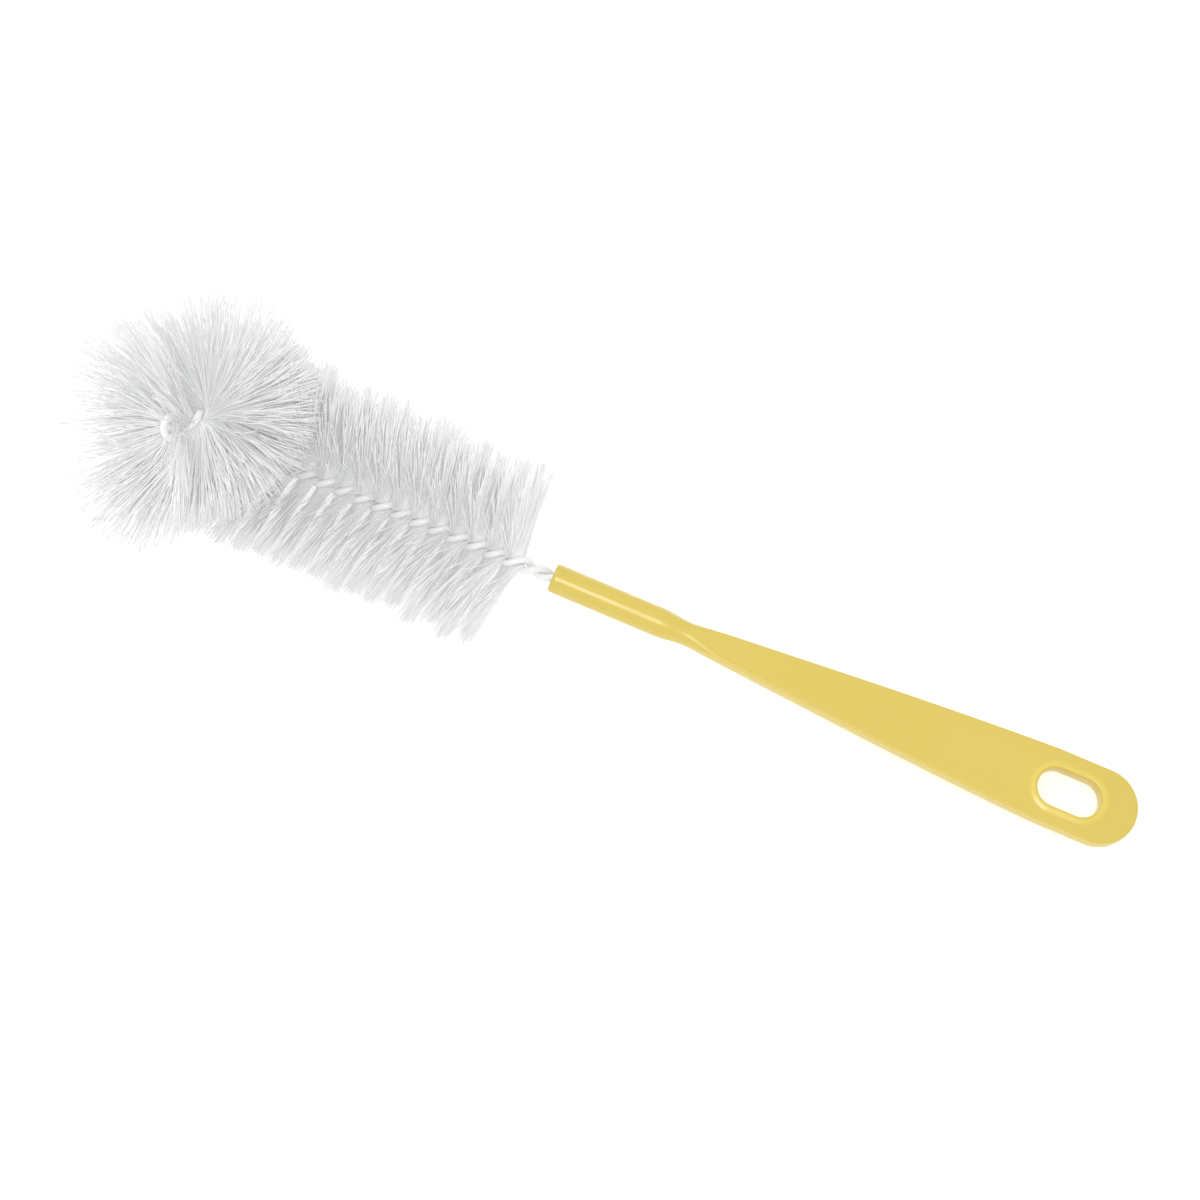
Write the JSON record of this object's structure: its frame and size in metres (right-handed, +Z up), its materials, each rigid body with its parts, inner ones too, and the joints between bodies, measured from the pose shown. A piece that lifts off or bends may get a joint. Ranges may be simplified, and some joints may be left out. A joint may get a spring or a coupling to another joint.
{
  "type": "bottle brush",
  "caption": "Twisted-wire bottle brush with a bent-up bristle tip and a flat moulded handle with a hanging slot.",
  "frame": {"origin": "centre of the footprint's bounding box, on the surface the brush rests on", "axes": "+X from the bristle head towards the end of the handle, +Z up with the brush lying on its bristles and the end of its handle, the bent tip pointing up; the wire's centre line slopes down towards +X by about 7 degrees"},
  "size_m": [0.3226, 0.075, 0.1089],
  "materials": {
    "handle_plastic": "satin",
    "coated_wire": "gloss",
    "nylon_bristle": "satin"
  },
  "bodies": {
    "root": {"handle": "handle_plastic", "twisted_wire": "coated_wire", "bristle_bundle_1": "nylon_bristle", "bristle_bundle_2": "nylon_bristle", "bristle_bundle_3": "nylon_bristle", "bristle_bundle_4": "nylon_bristle", "bristle_bundle_5": "nylon_bristle", "bristle_bundle_6": "nylon_bristle", "bristle_bundle_7": "nylon_bristle", "bristle_bundle_8": "nylon_bristle", "bristle_bundle_9": "nylon_bristle", "bristle_bundle_10": "nylon_bristle", "bristle_bundle_11": "nylon_bristle", "bristle_bundle_12": "nylon_bristle", "bristle_bundle_13": "nylon_bristle", "bristle_bundle_14": "nylon_bristle", "tip_bundle_1": "nylon_bristle", "tip_bundle_2": "nylon_bristle", "tip_bundle_3": "nylon_bristle", "tip_bundle_4": "nylon_bristle", "tip_bundle_5": "nylon_bristle", "tip_bundle_6": "nylon_bristle", "tip_bundle_7": "nylon_bristle", "tip_bundle_8": "nylon_bristle"}
  },
  "joints": []
}
